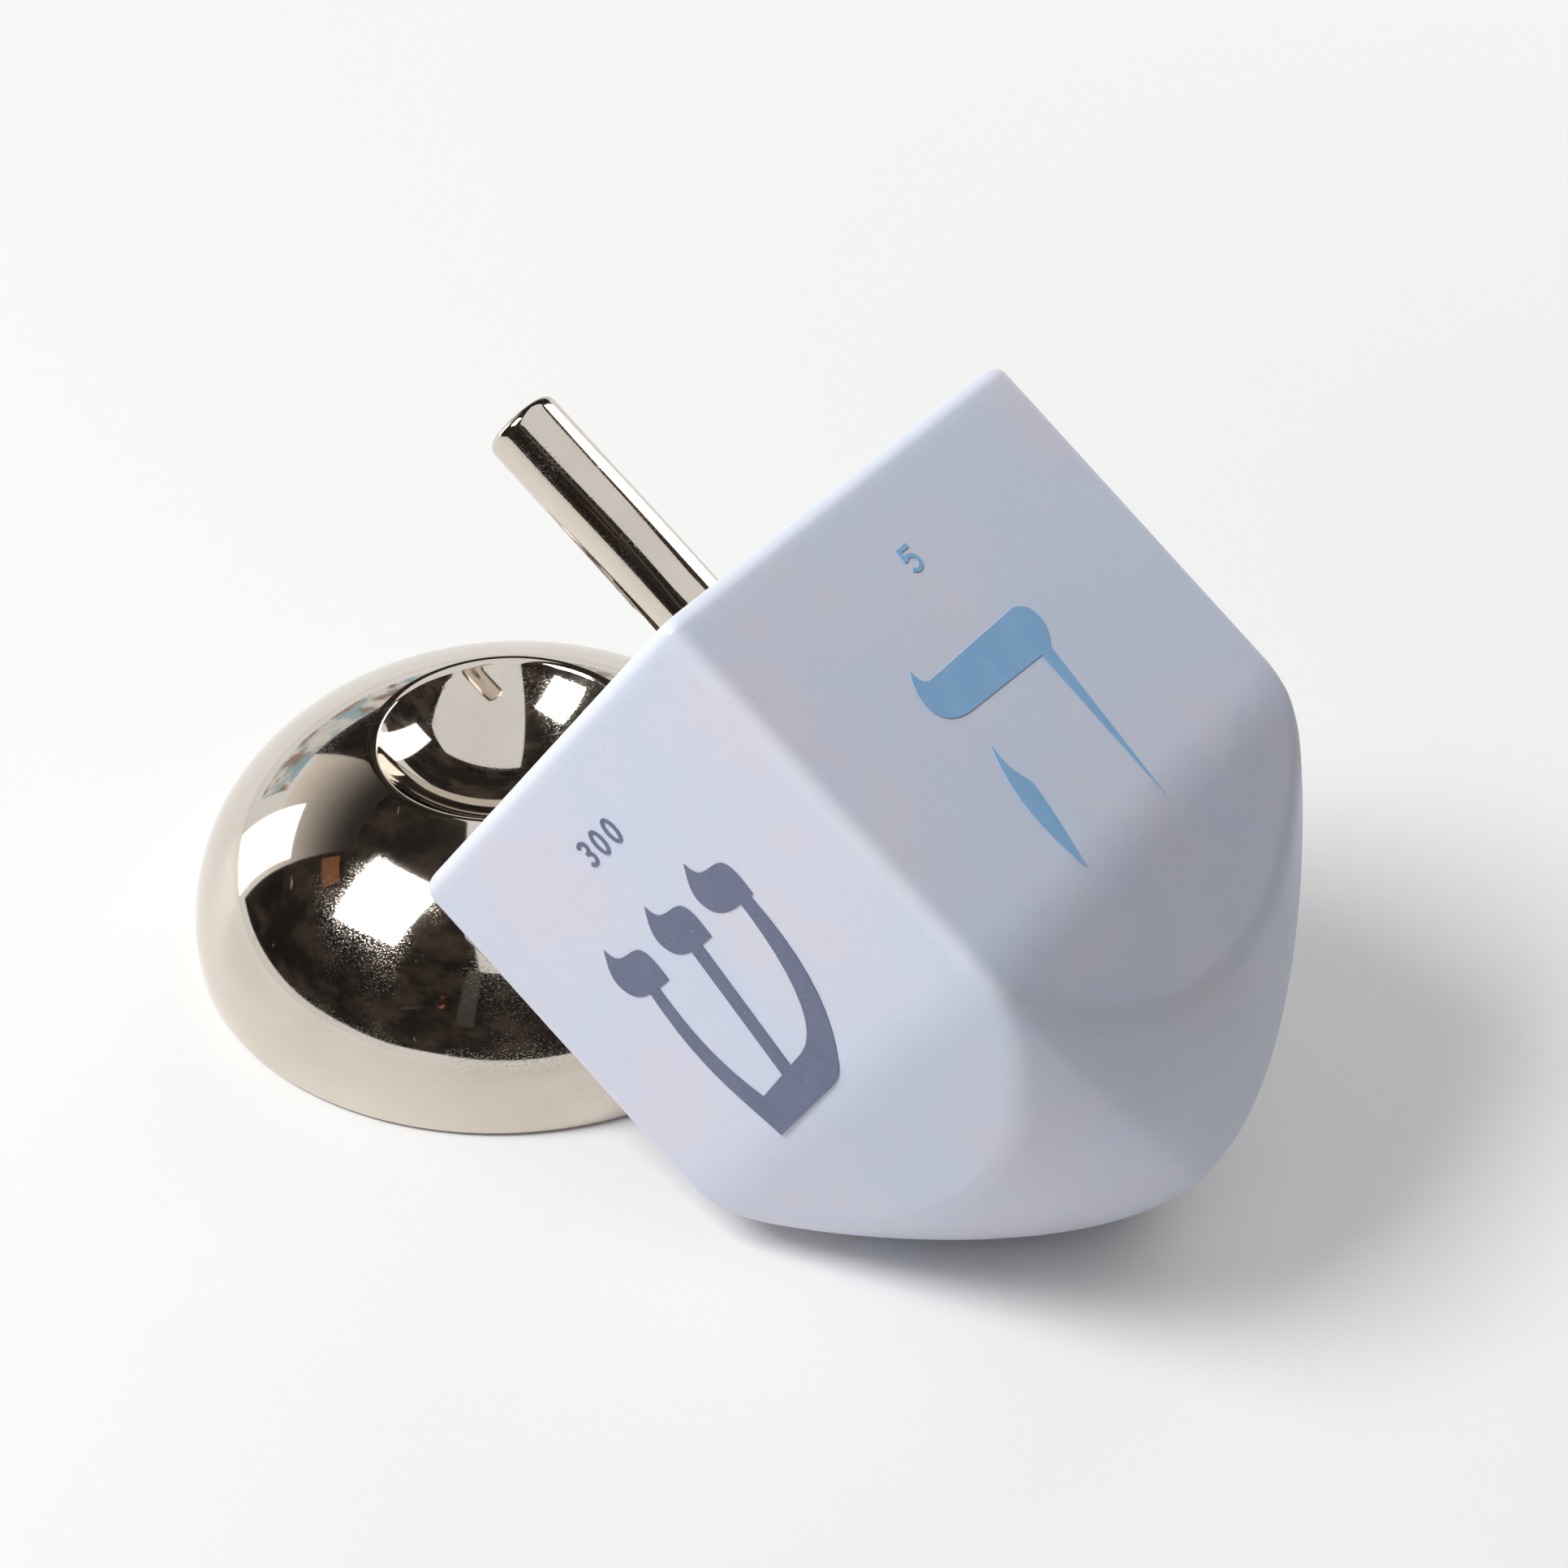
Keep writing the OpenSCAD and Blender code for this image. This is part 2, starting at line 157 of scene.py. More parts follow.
def steps(low, high, count, power=1.0):
    """Values after low, up to high, crowded towards low by a power above 1."""
    return [low + (high - low) * ((i + 1) / count) ** power for i in range(count)]


def quarter_turn():
    """Ten angles after 0, up to a right angle."""
    return [math.radians(9 * k) for k in range(1, 11)]


def ring_angle(i, per_octant):
    """Directions round the body, crowded towards its four corners."""
    octant, u = divmod(i, per_octant)
    u /= per_octant
    return math.radians(45 * (octant + (1 - (1 - u) ** 2 if octant % 2 == 0 else u * u)))


# The place of the leaning body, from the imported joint
joint = frame["joints"][0]
pivot = Vector(joint["pos_m"])
hinge = Vector(joint["axis"])
lean_turn = math.atan2(-hinge.x, hinge.y)
leaning = (
    Matrix.Translation(pivot)
    @ Matrix.Rotation(lean_turn, 4, "Z")
    @ Matrix.Rotation(-math.radians(LEAN), 4, "Y")
    @ Matrix.Translation((0, 0, -pivot.z))
)


# Mesh helpers

def new_object(name, data):
    """A new object in the scene, at the origin."""
    obj = bpy.data.objects.new(name, data)
    bpy.context.scene.collection.objects.link(obj)
    return obj


def make_object(name, verts, faces, place, highlight_shares=None):
    """A smooth mesh object from points in millimetres, set in place and then left at the origin."""
    mesh = bpy.data.meshes.new(name)
    mesh.from_pydata([Vector(v) * MM for v in verts], [], faces)
    mesh.transform(place)
    if highlight_shares is not None:
        # The edge attribute holds the share of the painted highlight
        layer = mesh.attributes.new("edge", "FLOAT", "POINT")
        for i, value in enumerate(highlight_shares):
            layer.data[i].value = value
    mesh.validate()
    mesh.polygons.foreach_set("use_smooth", [True] * len(mesh.polygons))
    mesh.update()
    return new_object(name, mesh)


def flat(rows):
    return [point for row in rows for point in row]


def turned(profile, count, uneven=None):
    """A row of points round the axis for each radius and height of a profile."""
    rows = []
    for radius, z in profile:
        row = []
        for i in range(count):
            a = 2 * math.pi * i / count
            r = radius if uneven is None else uneven(a, radius, z)
            row.append((r * math.cos(a), r * math.sin(a), z))
        rows.append(row)
    return rows


def skin(rows, first=0):
    """Quads between rows of as many points each, outward for rows that run upward."""
    count = len(rows[0])
    faces = []
    for r in range(len(rows) - 1):
        low, high = first + r * count, first + (r + 1) * count
        for i in range(count):
            j = (i + 1) % count
            faces.append((low + i, low + j, high + j, high + i))
    return faces


def cap(tip, first, count, below=False):
    """Triangles between the point tip and the row that starts at first. They face up, or else down."""
    faces = [(tip, first + i, first + (i + 1) % count) for i in range(count)]
    return [(a, c, b) for a, b, c in faces] if below else faces


def closed(rows, low_z, high_z):
    """Points and faces of a solid round its rows, closed at each end by a point on the axis."""
    count = len(rows[0])
    verts = [(0, 0, low_z)] + flat(rows) + [(0, 0, high_z)]
    faces = cap(0, 1, count, below=True) + skin(rows, 1)
    faces += cap(len(verts) - 1, 1 + (len(rows) - 1) * count, count)
    return verts, faces


# Body: a fine loft with the socket for the stem in its upper face

def make_body():
    per_octant = 36
    tip_end, fold_start, fold_end = 18, 42, FLAT_Z + 0.7
    tip_rings, nose_rings, fold_rings, side_rings = 34, 64, 20, 26
    heights = (
        steps(0, tip_end, tip_rings, power=1.6)
        + steps(tip_end, fold_start, nose_rings)
        + steps(fold_start, fold_end, fold_rings)
        + steps(fold_end, BODY_H - TOP_EDGE_R, side_rings)
        + [BODY_H - TOP_EDGE_R * (1 - math.sin(a)) for a in quarter_turn()]
    )
    angles = [ring_angle(i, per_octant) for i in range(8 * per_octant)]
    rows = []
    highlight_shares = [0.0]
    for z in heights:
        row = []
        for a in angles:
            r = reach(a, z)
            row.append((r * math.cos(a), r * math.sin(a), z))
            highlight_shares.append(edge_highlight_share(a, z))
        rows.append(row)

    # The upper face runs in to the socket, and down it
    rim = rows[-1]
    # The painted highlight of the upper rim fades out across the upper face
    rim_highlight_share, rim_fade = 0.5, 4
    inward_rows, inward_power = 8, 0.8
    for k in range(1, inward_rows + 1):
        t = (k / inward_rows) ** inward_power
        row = []
        for a, p in zip(angles, rim):
            inner = (SOCKET_R * math.cos(a), SOCKET_R * math.sin(a))
            row.append((p[0] + (inner[0] - p[0]) * t, p[1] + (inner[1] - p[1]) * t, BODY_H))
            highlight_shares.append(max(rim_highlight_share - rim_fade * t, 0))
        rows.append(row)
    corner, deep = 0.5, 4
    for z in (BODY_H - corner, BODY_H - deep, SOCKET_Z + corner, SOCKET_Z):
        rows.append([(SOCKET_R * math.cos(a), SOCKET_R * math.sin(a), z) for a in angles])
        highlight_shares += [0.0] * len(angles)
    highlight_shares.append(0.0)
    verts, faces = closed(rows, 0, SOCKET_Z)
    return make_object("glazed_body", verts, faces, leaning, highlight_shares)


# Stem: a turned rod with a slightly uneven surface, as lustre over hand-finished glaze has

def uneven_stem(angle, radius, z):
    """The stem's radius, wavy above the body but not at the middle of its flat end."""
    above = min(max((z - BODY_H) / STEM_WAVE_RISE, 0), 1) * min(radius / (STEM_D / 2), 1) ** 4
    turn, rise, seed = 0.7, 0.045, Vector((3.1, 7.7, 1.3))
    bumps = noise.noise(Vector((math.cos(angle) * turn, math.sin(angle) * turn, z * rise)) + seed)
    return radius + STEM_WAVE * above * bumps


def make_stem():
    top = BODY_H + STEM_LEN
    r = STEM_D / 2
    flat_r = r - STEM_END_R
    foot_rows, tenon_rows, shaft_rows, end_rows = 4, 10, 60, 8
    profile = [(r * k / foot_rows, SOCKET_Z) for k in range(1, foot_rows + 1)]
    profile += [(r, z) for z in steps(SOCKET_Z, BODY_H, tenon_rows)]
    profile += [(r, z) for z in steps(BODY_H, top - STEM_END_R, shaft_rows)]
    for a in quarter_turn():
        profile.append((r - STEM_END_R * (1 - math.cos(a)), top - STEM_END_R * (1 - math.sin(a))))
    for k in range(1, end_rows):
        dip = STEM_DISH * math.sin(math.pi * k / end_rows / 2)
        profile.append((flat_r * (1 - k / end_rows), top - dip))
    rows = turned(profile, 128, uneven_stem)
    verts, faces = closed(rows, SOCKET_Z, top - STEM_DISH)
    return make_object("lustred_stem", verts, faces, leaning)


# Adhesive: a sleeve round the tenon, with a small hollow bead where the stem leaves the body

def make_bond():
    stem_r = STEM_D / 2
    count = 96
    bead_steps = 8
    profile = [(stem_r, SOCKET_Z), (SOCKET_R, SOCKET_Z), (SOCKET_R, BODY_H - BEAD_LIFT)]
    for k in range(bead_steps + 1):
        a = math.radians(90 * k / bead_steps)
        profile.append((
            SOCKET_R + BEAD_R - BEAD_R * math.sin(a),
            BODY_H + BEAD_LIFT + BEAD_R * (1 - math.cos(a)),
        ))
    profile.append((stem_r, BODY_H + BEAD_LIFT + BEAD_R))
    rows = turned(profile, count)
    last = (len(rows) - 1) * count
    faces = skin(rows)
    faces += [(last + i, last + (i + 1) % count, (i + 1) % count, i) for i in range(count)]
    return make_object("stem_bond_sleeve", flat(rows), faces, leaning)


# Stand: a squashed dome that turns over a rolled lip into the bowl, hollow, with a vent in its foot

def dome_point(angle, inset):
    """Radius and height on the dome, or at an inset inside it."""
    return ((STAND_R - inset) * math.cos(angle), BELLY_Z + (DOME_H - inset) * math.sin(angle))


def circle_point(centre, radius, angle):
    return (centre[0] + radius * math.cos(angle), centre[1] + radius * math.sin(angle))


def stand_outline():
    """The outline from the foot to the bowl, with the bowl's lowest height, radius and centre height."""
    foot_angle = math.asin((FOOT_R - BELLY_Z) / DOME_H)
    rim_angle = math.acos(RIM_R / STAND_R)
    rim_lean = math.atan2(math.sin(rim_angle) / DOME_H, math.cos(rim_angle) / STAND_R)
    edge = dome_point(rim_angle, 0)
    lip = (edge[0] - LIP_R * math.cos(rim_lean), edge[1] - LIP_R * math.sin(rim_lean))
    bowl_low = lip[1] + LIP_R - BOWL_DEPTH
    bowl_r = (lip[0] ** 2 + (lip[1] - bowl_low) ** 2 - LIP_R ** 2) / (2 * BOWL_DEPTH)
    bowl_z = bowl_low + bowl_r
    lip_end = math.atan2(bowl_z - lip[1], -lip[0])
    foot = (dome_point(foot_angle, 0)[0] - FOOT_R, FOOT_R)
    dome_rows, lip_rows, bowl_rows = 110, 30, 40
    outline = [circle_point(foot, FOOT_R, math.radians(a)) for a in range(-90, 1, 10)]
    outline += [dome_point(a, 0) for a in steps(foot_angle, rim_angle, dome_rows)]
    outline += [circle_point(lip, LIP_R, a) for a in steps(rim_lean, lip_end, lip_rows)]
    bowl_angles = steps(lip_end - math.pi, -math.pi / 2, bowl_rows)[:-1]
    outline += [circle_point((0, bowl_z), bowl_r, a) for a in bowl_angles]
    return outline, bowl_low, bowl_r, bowl_z


def uneven_dome(angle, radius, z):
    """The hand-made dome's radius, wavy but not where the leaning body rests on it."""
    still, fade = 0.5, 0.6
    off_rest = abs((angle - lean_turn + math.pi) % (2 * math.pi) - math.pi)
    lift = min(max(z / DOME_WAVE_RISE, 0), 1) * min(max(off_rest - still, 0) / fade, 1)
    point = Vector((radius * math.cos(angle), radius * math.sin(angle), z))
    wave_scale, seed, ripple_scale = 0.028, Vector((5.3, 2.1, 9.4)), 0.09
    wave = noise.noise(point * wave_scale + seed)
    ripple = noise.noise(point * ripple_scale)
    return radius + lift * (DOME_WAVE * wave + DOME_RIPPLE * ripple)


def hollow_outline(bowl_low, bowl_r, bowl_z):
    """The hollow's outline, from its flat floor up to where it meets the wall under the bowl."""
    low = math.asin((STAND_WALL - BELLY_Z) / (DOME_H - STAND_WALL))
    outline = [dome_point(low, STAND_WALL)]
    for a in steps(low, math.pi / 2, 40):
        p = dome_point(a, STAND_WALL)
        if math.hypot(p[0], p[1] - bowl_z) > bowl_r + STAND_WALL and p[1] < bowl_low:
            outline.append(p)
    return outline


def make_stand():
    outer_count, inner_count, vent_count = 256, 96, 24
    outline, bowl_low, bowl_r, bowl_z = stand_outline()
    rows = turned(outline, outer_count, uneven_dome)
    verts = flat(rows) + [(0, 0, bowl_low)]
    faces = skin(rows) + cap(len(verts) - 1, (len(rows) - 1) * outer_count, outer_count)

    # The hollow, seen only through the vent
    hollow = len(verts)
    inner_rows = turned(hollow_outline(bowl_low, bowl_r, bowl_z), inner_count)
    verts += flat(inner_rows) + [(0, 0, bowl_low - STAND_WALL)]
    faces += [tuple(reversed(f)) for f in skin(inner_rows, hollow)]
    faces += cap(len(verts) - 1, hollow + (len(inner_rows) - 1) * inner_count, inner_count, below=True)

    # The vent's tube
    vent = len(verts)
    vent_top = vent + vent_count
    for z in (0, STAND_WALL):
        for i in range(vent_count):
            a = 2 * math.pi * i / vent_count
            verts.append((VENT_OUT + VENT_D / 2 * math.cos(a), VENT_D / 2 * math.sin(a), z))
    for i in range(vent_count):
        j = (i + 1) % vent_count
        faces.append((vent + i, vent_top + i, vent_top + j, vent + j))

    # The foot and the hollow's floor, two flat faces that the vent pierces
    bm = bmesh.new()
    points = [bm.verts.new(v) for v in verts]
    for f in faces:
        bm.faces.new([points[i] for i in f])
    for face_edge, vent_edge in (
        (range(outer_count), range(vent, vent_top)),
        (range(hollow, hollow + inner_count), range(vent_top, vent_top + vent_count)),
    ):
        edges = []
        for loop in (face_edge, vent_edge):
            for k, i in enumerate(loop):
                pair = (points[i], points[loop[(k + 1) % len(loop)]])
                edges.append(bm.edges.get(pair) or bm.edges.new(pair))
        bmesh.ops.triangle_fill(bm, use_beauty=True, edges=edges)
    bmesh.ops.recalc_face_normals(bm, faces=bm.faces)
    mesh = bpy.data.meshes.new("lustred_stand")
    bm.to_mesh(mesh)
    bm.free()
    mesh.transform(Matrix.Scale(MM, 4))

    # All is smooth but those two faces
    level_cos = 0.999
    level_top = (STAND_WALL + 0.5) * MM
    level = [abs(p.normal.z) > level_cos and p.center.z < level_top for p in mesh.polygons]
    mesh.polygons.foreach_set("use_smooth", [not f for f in level])
    mesh.update()
    return new_object("lustred_stand", mesh)


# Materials. A noise scale is in cells per metre, and a bump distance in metres

GLAZE_IOR = 1.5


def shown_rays(tree):
    """1 for rays from the camera, and for those that metal and glass send on."""
    path = tree.nodes.new("ShaderNodeLightPath")
    total = path.outputs["Is Camera Ray"]
    for other in ("Is Glossy Ray", "Is Transmission Ray"):
        add = tree.nodes.new("ShaderNodeMath")
        add.operation = "MAXIMUM"
        tree.links.new(total, add.inputs[0])
        tree.links.new(path.outputs[other], add.inputs[1])
        total = add.outputs[0]
    return total


class Nodes:
    """A material's nodes, made and wired by name."""

    def __init__(self, name):
        self.material = bpy.data.materials.new(name)
        self.material.use_nodes = True
        self.tree = self.material.node_tree
        self.shader = self.tree.nodes["Principled BSDF"]

    def add(self, kind, settings=None, **sockets):
        node = self.tree.nodes.new(kind)
        for key, value in (settings or {}).items():
            setattr(node, key, value)
        for key, value in sockets.items():
            self.put(node, key.replace("_", " "), value)
        return node

    def put(self, node, key, value):
        """Sets or links an input, by its name or by i and its number."""
        socket = node.inputs[int(key[1:])] if key[0] == "i" and key[1:].isdigit() else node.inputs[key]
        if isinstance(value, bpy.types.NodeSocket):
            self.tree.links.new(value, socket)
        else:
            socket.default_value = value

    def set_shader(self, **sockets):
        for key, value in sockets.items():
            self.put(self.shader, key.replace("_", " "), value)

    def set_matt(self, colour):
        self.set_shader(Base_Color=colour, Roughness=0.9, Specular_IOR_Level=0.0)

    def place(self):
        return self.add("ShaderNodeTexCoord").outputs["Object"]

    def mapped(self, vector, **sockets):
        return self.add("ShaderNodeMapping", None, Vector=vector, **sockets).outputs[0]

    def noise(self, scale, detail=2.0, rough=0.5, vector=None, distortion=0.0):
        node = self.add(
            "ShaderNodeTexNoise", None, Scale=scale, Detail=detail, Roughness=rough, Distortion=distortion)
        self.tree.links.new(vector or self.place(), node.inputs["Vector"])
        return node.outputs["Fac"]

    def ramp(self, value, low, high, to_low=0.0, to_high=1.0):
        node = self.add("ShaderNodeMapRange", {"clamp": True, "interpolation_type": "SMOOTHSTEP"})
        for i, v in enumerate((value, low, high, to_low, to_high)):
            self.put(node, f"i{i}", v)
        return node.outputs[0]

    def math(self, operation, a, b=0.0):
        node = self.add("ShaderNodeMath", {"operation": operation})
        self.put(node, "i0", a)
        self.put(node, "i1", b)
        return node.outputs[0]

    def scratch(self, stretch):
        """Thin broken lines: a noise that is stretched out along one direction."""
        vector = self.mapped(self.place(), Scale=stretch, Rotation=(0.4, 0.9, 0.3))
        return self.ramp(self.noise(1.0, 2, 0.6, vector), 0.70, 0.76)

    def mix(self, share, a, b):
        node = self.add("ShaderNodeMix", {"data_type": "RGBA"})
        self.put(node, "i0", share)
        self.put(node, "i6", a)
        self.put(node, "i7", b)
        return node.outputs[2]

    def bump(self, height, distance, strength=1.0, normal=None):
        node = self.add("ShaderNodeBump", None, Height=height, Distance=distance, Strength=strength)
        if normal is not None:
            self.put(node, "Normal", normal)
        return node.outputs["Normal"]


def glaze():
    """Satin glaze: two cloudy tones, fine mottling, a highlight painted as a paler tone along the edges,
    and a few blue specks.
    """
    blue, grey = (0.655, 0.725, 0.870, 1), (0.725, 0.720, 0.835, 1)
    mottle, pale, speck_blue = (0.62, 0.68, 0.84, 1), (0.84, 0.87, 0.95, 1), (0.33, 0.45, 0.62, 1)
    n = Nodes("satin_glaze")
    cloud = n.noise(28, 3, 0.55)
    fine = n.noise(160, 3, 0.6)
    base = n.mix(n.ramp(cloud, 0.35, 0.65), blue, grey)
    base = n.mix(n.ramp(fine, 0.55, 0.75, 0, 0.25), base, mottle)
    edge = n.add("ShaderNodeAttribute", {"attribute_name": "edge"}).outputs["Fac"]
    # Painted highlight: the glaze turns paler along the body's edges, following the edge attribute
    base = n.mix(n.ramp(edge, 0.1, 1.0, 0, 0.5), base, pale)
    cells = n.add("ShaderNodeTexVoronoi", {"feature": "F1"}, Scale=650.0, Randomness=1.0)
    n.put(cells, "Vector", n.place())
    speck = n.ramp(cells.outputs["Distance"], 0.08, 0.2, 1, 0)
    chance = n.add("ShaderNodeSeparateColor", None, Color=cells.outputs["Color"]).outputs[0]
    speck = n.math("MULTIPLY", speck, n.ramp(chance, 0.86, 0.9))
    base = n.mix(n.math("MULTIPLY", speck, 0.2), base, speck_blue)
    rough = n.ramp(n.noise(60, 4, 0.6), 0.3, 0.7, 0.36, 0.50)
    peel = n.noise(900, 3, 0.6)
    wave = n.bump(n.noise(70, 2, 0.5), 0.00025, 0.35)
    surface = n.bump(peel, 0.00002, 0.5, wave)
    n.set_shader(Base_Color=base, Roughness=rough, IOR=GLAZE_IOR, Normal=surface)
    return n.material


def decal(name, colour, deep):
    """A fired decal: two close tones, with fine pale dots where the glaze shows through."""
    n = Nodes(name)
    tone = n.noise(180, 4, 0.6)
    base = n.mix(n.ramp(tone, 0.35, 0.7), colour, deep)
    dots = n.noise(2600, 2, 0.5)
    base = n.mix(n.ramp(dots, 0.66, 0.78, 0, 0.35), base, (0.66, 0.70, 0.78, 1))
    rough = n.ramp(n.noise(300, 3, 0.6), 0.3, 0.7, 0.38, 0.5)
    peel = n.noise(900, 3, 0.6)
    n.set_shader(Base_Color=base, Roughness=rough, IOR=GLAZE_IOR, Normal=n.bump(peel, 0.00002, 0.5))
    return n.material


def lustre():
    """Metal lustre over a slightly wavy glaze, wiped and scratched with use."""
    n = Nodes("metal_lustre")
    cloud = n.noise(35, 4, 0.6)
    base = n.mix(n.ramp(cloud, 0.3, 0.7), (0.71, 0.645, 0.57, 1), (0.65, 0.585, 0.51, 1))
    # Wiped haze in patches, with fine grain and scratches in it
    haze = n.ramp(n.noise(24, 3, 0.6, None, 0.8), 0.38, 0.62)
    wiped = n.mapped(n.place(), Scale=(2600, 6000, 6000), Rotation=(0.2, 0.5, 0.9))
    grain = n.ramp(n.noise(1.0, 2, 0.6, wiped), 0.495, 0.66)
    scratches = n.math("MAXIMUM", n.scratch((30, 900, 260)), n.scratch((700, 60, 420)))
    worn = n.math("MAXIMUM", n.math("MULTIPLY", haze, grain), n.math("MULTIPLY", scratches, 0.6))
    rough = n.ramp(worn, 0.0, 1.0, 0.045, 0.30)
    wave = n.bump(n.noise(22, 1, 0.4), 0.0008, 0.3)
    surface = n.bump(scratches, 0.000006, 0.6, wave)
    n.set_shader(Base_Color=base, Metallic=1.0, Roughness=rough, Normal=surface)
    return n.material


def resin():
    """Cured adhesive, slightly mottled."""
    n = Nodes("cured_adhesive")
    base = n.mix(n.noise(400, 3, 0.5), (0.66, 0.63, 0.55, 1), (0.74, 0.71, 0.64, 1))
    rough = n.ramp(n.noise(700, 2, 0.5), 0.3, 0.7, 0.45, 0.6)
    n.set_shader(Base_Color=base, Roughness=rough, Normal=n.bump(n.noise(900, 3, 0.6), 0.00005, 0.5))
    return n.material


def paper(name, colour, rough, level, glow, far_glow):
    """Plain card. A share of what the camera and metal see of it is plain white.

    The share is glow near the object and far_glow beyond. Right under the object it goes, so that the
    shadow there stays deep.
    """
    near, far = 0.05, 0.6
    shade_reach, shaded, unshaded = 0.045, 0.12, 0.58
    cloud_share = 0.985
    n = Nodes(name)
    base = n.mix(n.noise(3, 2, 0.5), colour, tuple(cloud_share * c for c in colour[:3]) + (1,))
    n.set_shader(Base_Color=base, Roughness=rough, Specular_IOR_Level=level)
    away = n.add("ShaderNodeVectorMath", {"operation": "LENGTH"}, i0=n.place()).outputs["Value"]
    share = n.math("MULTIPLY", shown_rays(n.tree), n.ramp(away, near, far, glow, far_glow))
    sky = n.add("ShaderNodeAmbientOcclusion", {"samples": 4}, Distance=shade_reach).outputs["AO"]
    share = n.math("MULTIPLY", share, n.ramp(sky, shaded, unshaded))
    white = n.add("ShaderNodeEmission", None, Color=(0.95, 0.95, 0.945, 1), Strength=1.0)
    both = n.add("ShaderNodeMixShader", None, i0=share)
    n.tree.links.new(n.shader.outputs[0], both.inputs[1])
    n.tree.links.new(white.outputs[0], both.inputs[2])
    n.tree.links.new(both.outputs[0], n.tree.nodes["Material Output"].inputs["Surface"])
    return n.material


def cloth(name, colour, light, scale):
    """Matt cloth with broad cloudy patches."""
    n = Nodes(name)
    cloud = n.noise(scale, 3, 0.6)
    n.set_matt(n.mix(n.ramp(cloud, 0.42, 0.68), colour, light))
    return n.material


def backdrop(name, colour, low_z, high_z, low_glow, high_glow):
    """Cloth whose glow changes with its height. The glow is for metal and the camera alone."""
    n = Nodes(name)
    height = n.add("ShaderNodeSeparateXYZ", None, Vector=n.place()).outputs["Z"]
    glow = n.math("MULTIPLY", shown_rays(n.tree), n.ramp(height, low_z, high_z, low_glow, high_glow))
    cloud = n.mix(n.noise(2.5, 3, 0.6), (0.95, 0.90, 0.85, 1), (0.80, 0.75, 0.70, 1))
    n.set_matt(colour)
    n.set_shader(Emission_Color=cloud, Emission_Strength=glow)
    return n.material


def marks():
    """A pale wall with blue and brown patches along it. Its glow is for metal and the camera alone."""
    pale, blue, brown = (0.80, 0.80, 0.79, 1), (0.34, 0.52, 0.60, 1), (0.34, 0.24, 0.19, 1)
    glow_level = 0.6
    n = Nodes("studio_wall")
    place = n.mapped(n.place(), Scale=(1.0, 1.0, 0.45))
    wall = n.mix(n.ramp(n.noise(7, 3, 0.6, place), 0.44, 0.62), pale, blue)
    shifted = n.mapped(place, Location=(3, 5, 1))
    wall = n.mix(n.ramp(n.noise(9, 2, 0.5, shifted), 0.52, 0.66), wall, brown)
    glow = n.math("MULTIPLY", shown_rays(n.tree), glow_level)
    n.set_matt(wall)
    n.set_shader(Emission_Color=wall, Emission_Strength=glow)
    return n.material


# The object

glaze_material = glaze()
lustre_material = lustre()
sky_material = decal("sky_decal", (0.275, 0.50, 0.78, 1), (0.24, 0.455, 0.74, 1))
slate_material = decal("slate_decal", (0.145, 0.165, 0.265, 1), (0.125, 0.145, 0.24, 1))

body = make_body()
stem = make_stem()
bond = make_bond()
stand = make_stand()
for piece, material, slot, rider, node in (
    (body, glaze_material, "glaze", "dreidel", "body_shell"),
    (stem, lustre_material, "lustre", "dreidel", "stem"),
    (bond, resin(), "resin", "dreidel", "stem_bond"),
    (stand, lustre_material, "lustre", "stand", "stand_shell"),
):
    piece.data.materials.append(material)
    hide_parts(node)
    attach(piece, rider)
for name, node in frame["nodes"].items():
    if name.startswith(("letter_", "number_")):
        pale = name in ("letter_nun", "letter_he", "number_50", "number_5")
        for material_slot in node.material_slots:
            material_slot.material = sky_material if pale else slate_material


# Stage, in metres and degrees: a pale floor, and dark screens and cards in a room that is pale elsewhere

STAGE_CENTRE = Vector((0.03, 0, 0.03))
FLOOR_REACH = 30.0
SCREEN_FOOT = 2.5
MARKS_FOOT = 3
MARKS_TOP = 14
WEDGE_FOOT = 16
SCREEN_TOP = 47
SCREEN_OUT = 2.2
NEAR_SCREEN_OUT = 2.1
CEILING_Z = 1.64
CEILING_REACH = 3
OPEN_LEFT = -0.34
OPEN_RIGHT = 1.40
OPEN_FRONT = -1.75
OPEN_BACK = 1.15


def stage_mesh(name, verts, faces, material):
    mesh = bpy.data.meshes.new(name)
    mesh.from_pydata(verts, [], faces)
    mesh.materials.append(material)
    obj = new_object(name, mesh)
    return obj


def stage_quad(name, from_x, to_x, from_y, to_y, height, material):
    """A level rectangle."""
    corners = ((from_x, from_y), (to_x, from_y), (to_x, to_y), (from_x, to_y))
    return stage_mesh(name, [(x, y, height) for x, y in corners], [(0, 1, 2, 3)], material)


def direction(azimuth, elevation):
    """Unit vector; azimuth 0 points away from the camera and 90 to its right."""
    a, e = math.radians(azimuth), math.radians(elevation)
    return Vector((math.sin(a) * math.cos(e), math.cos(a) * math.cos(e), math.sin(e)))


def screen(name, from_az, to_az, from_el, to_el, distance, material):
    """A curved screen round the object, seen by everything but the camera."""
    columns, rows_count = 24, 12
    verts = []
    for r in range(rows_count + 1):
        elevation = from_el + (to_el - from_el) * r / rows_count
        for c in range(columns + 1):
            azimuth = from_az + (to_az - from_az) * c / columns
            verts.append(STAGE_CENTRE + distance * direction(azimuth, elevation))
    faces = []
    for r in range(rows_count):
        for c in range(columns):
            i = r * (columns + 1) + c
            faces.append((i, i + 1, i + columns + 2, i + columns + 1))
    stage_mesh(name, verts, faces, material).visible_camera = False


def card(name, from_x, to_x, from_y, to_y, material):
    """A level card overhead, seen by everything but the camera."""
    stage_quad(name, from_x, to_x, from_y, to_y, CEILING_Z, material).visible_camera = False


